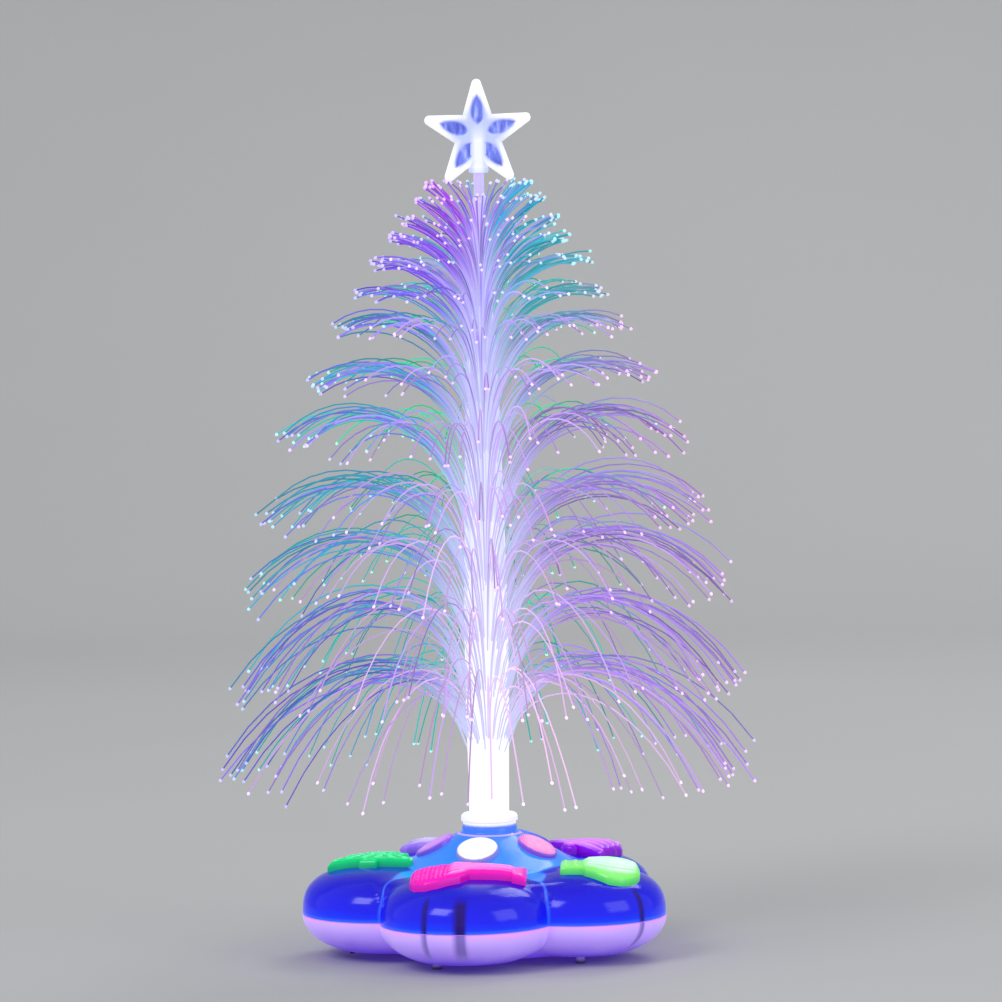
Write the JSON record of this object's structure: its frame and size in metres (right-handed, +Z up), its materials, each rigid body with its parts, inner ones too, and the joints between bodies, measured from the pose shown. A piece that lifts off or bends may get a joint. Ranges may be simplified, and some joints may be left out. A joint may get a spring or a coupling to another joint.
{
  "type": "fiber optic christmas tree",
  "caption": "Table-top tree of drooping light fibres on a glowing trunk, with a star on top and a lobed, battery-lit base that carries raised moulded figures.",
  "frame": {"origin": "on the surface that the feet stand on, in the middle of the tree's bounding box, on the trunk's axis", "axes": "+Z up along the trunk, -Y towards the viewer, +X to the viewer's right"},
  "size_m": [0.1817, 0.1792, 0.3],
  "materials": {
    "blue_shell": "glossy translucent royal blue, lit from inside",
    "milky_shell": "milky translucent, lit from inside",
    "magenta_moulding": "translucent, glows",
    "green_moulding": "translucent, glows",
    "purple_moulding": "translucent, glows",
    "lilac_moulding": "translucent, glows",
    "sea_green_moulding": "translucent, glows",
    "lens_front_window": "fine dot grid, glows",
    "lens_right_window": "fine dot grid, glows",
    "lens_rear_right_window": "fine dot grid, glows",
    "lens_rear_left_window": "fine dot grid, glows",
    "lens_left_window": "fine dot grid, glows",
    "foot_plastic": "clear post with a dark pad",
    "steel": "plain steel",
    "board": "green board",
    "lamp_plastic": "clear, glows",
    "pale_plastic": "white",
    "cell_jacket": "plain jacket",
    "black_plastic": "black",
    "fibre": "clear fibres whose ends glow",
    "star_plastic": "clear, with a bright rim"
  },
  "bodies": {
    "base": {"top_shell": "blue_shell", "bottom_shell": "milky_shell", "stocking_figure": "magenta_moulding", "bulb_figure": "green_moulding", "bell_figure": "purple_moulding", "mitten_figure": "lilac_moulding", "tree_figure": "sea_green_moulding", "lens_front": "lens_front_window", "lens_right": "lens_right_window", "lens_rear_right": "lens_rear_right_window", "lens_rear_left": "lens_rear_left_window", "lens_left": "lens_left_window", "foot_1": "foot_plastic", "foot_2": "foot_plastic", "foot_3": "foot_plastic", "foot_4": "foot_plastic", "foot_5": "foot_plastic", "case_screw_1": "steel", "case_screw_2": "steel", "case_screw_3": "steel", "case_screw_4": "steel", "case_screw_5": "steel", "circuit_board": "board", "lamp_left": "lamp_plastic", "lamp_middle": "lamp_plastic", "lamp_right": "lamp_plastic", "light_cup": "pale_plastic", "cell_1": "cell_jacket", "cell_2": "cell_jacket", "cell_3": "cell_jacket", "contact_first": "steel", "contact_bridge_right": "steel", "contact_bridge_left": "steel", "contact_last": "steel", "switch_body": "steel", "battery_wire": "black_plastic", "switch_wire": "black_plastic"},
    "tree": {"ferrule": "pale_plastic", "trunk_foot": "fibre", "tier_01": "fibre", "tier_02": "fibre", "tier_03": "fibre", "tier_04": "fibre", "tier_05": "fibre", "tier_06": "fibre", "tier_07": "fibre", "tier_08": "fibre", "tier_09": "fibre", "tier_10": "fibre", "tier_11": "fibre", "tier_12": "fibre", "tier_13": "fibre", "star_stem": "fibre"},
    "star": {"star_topper": "star_plastic"},
    "switch": {"switch_knob": "black_plastic"},
    "door": {"battery_door": "milky_shell", "door_screw": "steel"}
  },
  "joints": [
    {"name": "star_lift", "type": "slide", "parent": "tree", "child": "star", "axis": [0, 0, 1], "range_m": [0, 0.02]},
    {"name": "tree_lift", "type": "slide", "parent": "base", "child": "tree", "axis": [0, 0, 1], "range_m": [0, 0.03]},
    {"name": "switch_slide", "type": "slide", "parent": "base", "child": "switch", "axis": [-0.0872, 0.9962, 0], "range_m": [0, 0.004]},
    {"name": "door_hinge", "type": "hinge", "parent": "base", "child": "door", "pos_m": [0.00473, 0.02051, 0.004], "axis": [0.9744, -0.225, 0], "range_deg": [0, 100]}
  ]
}
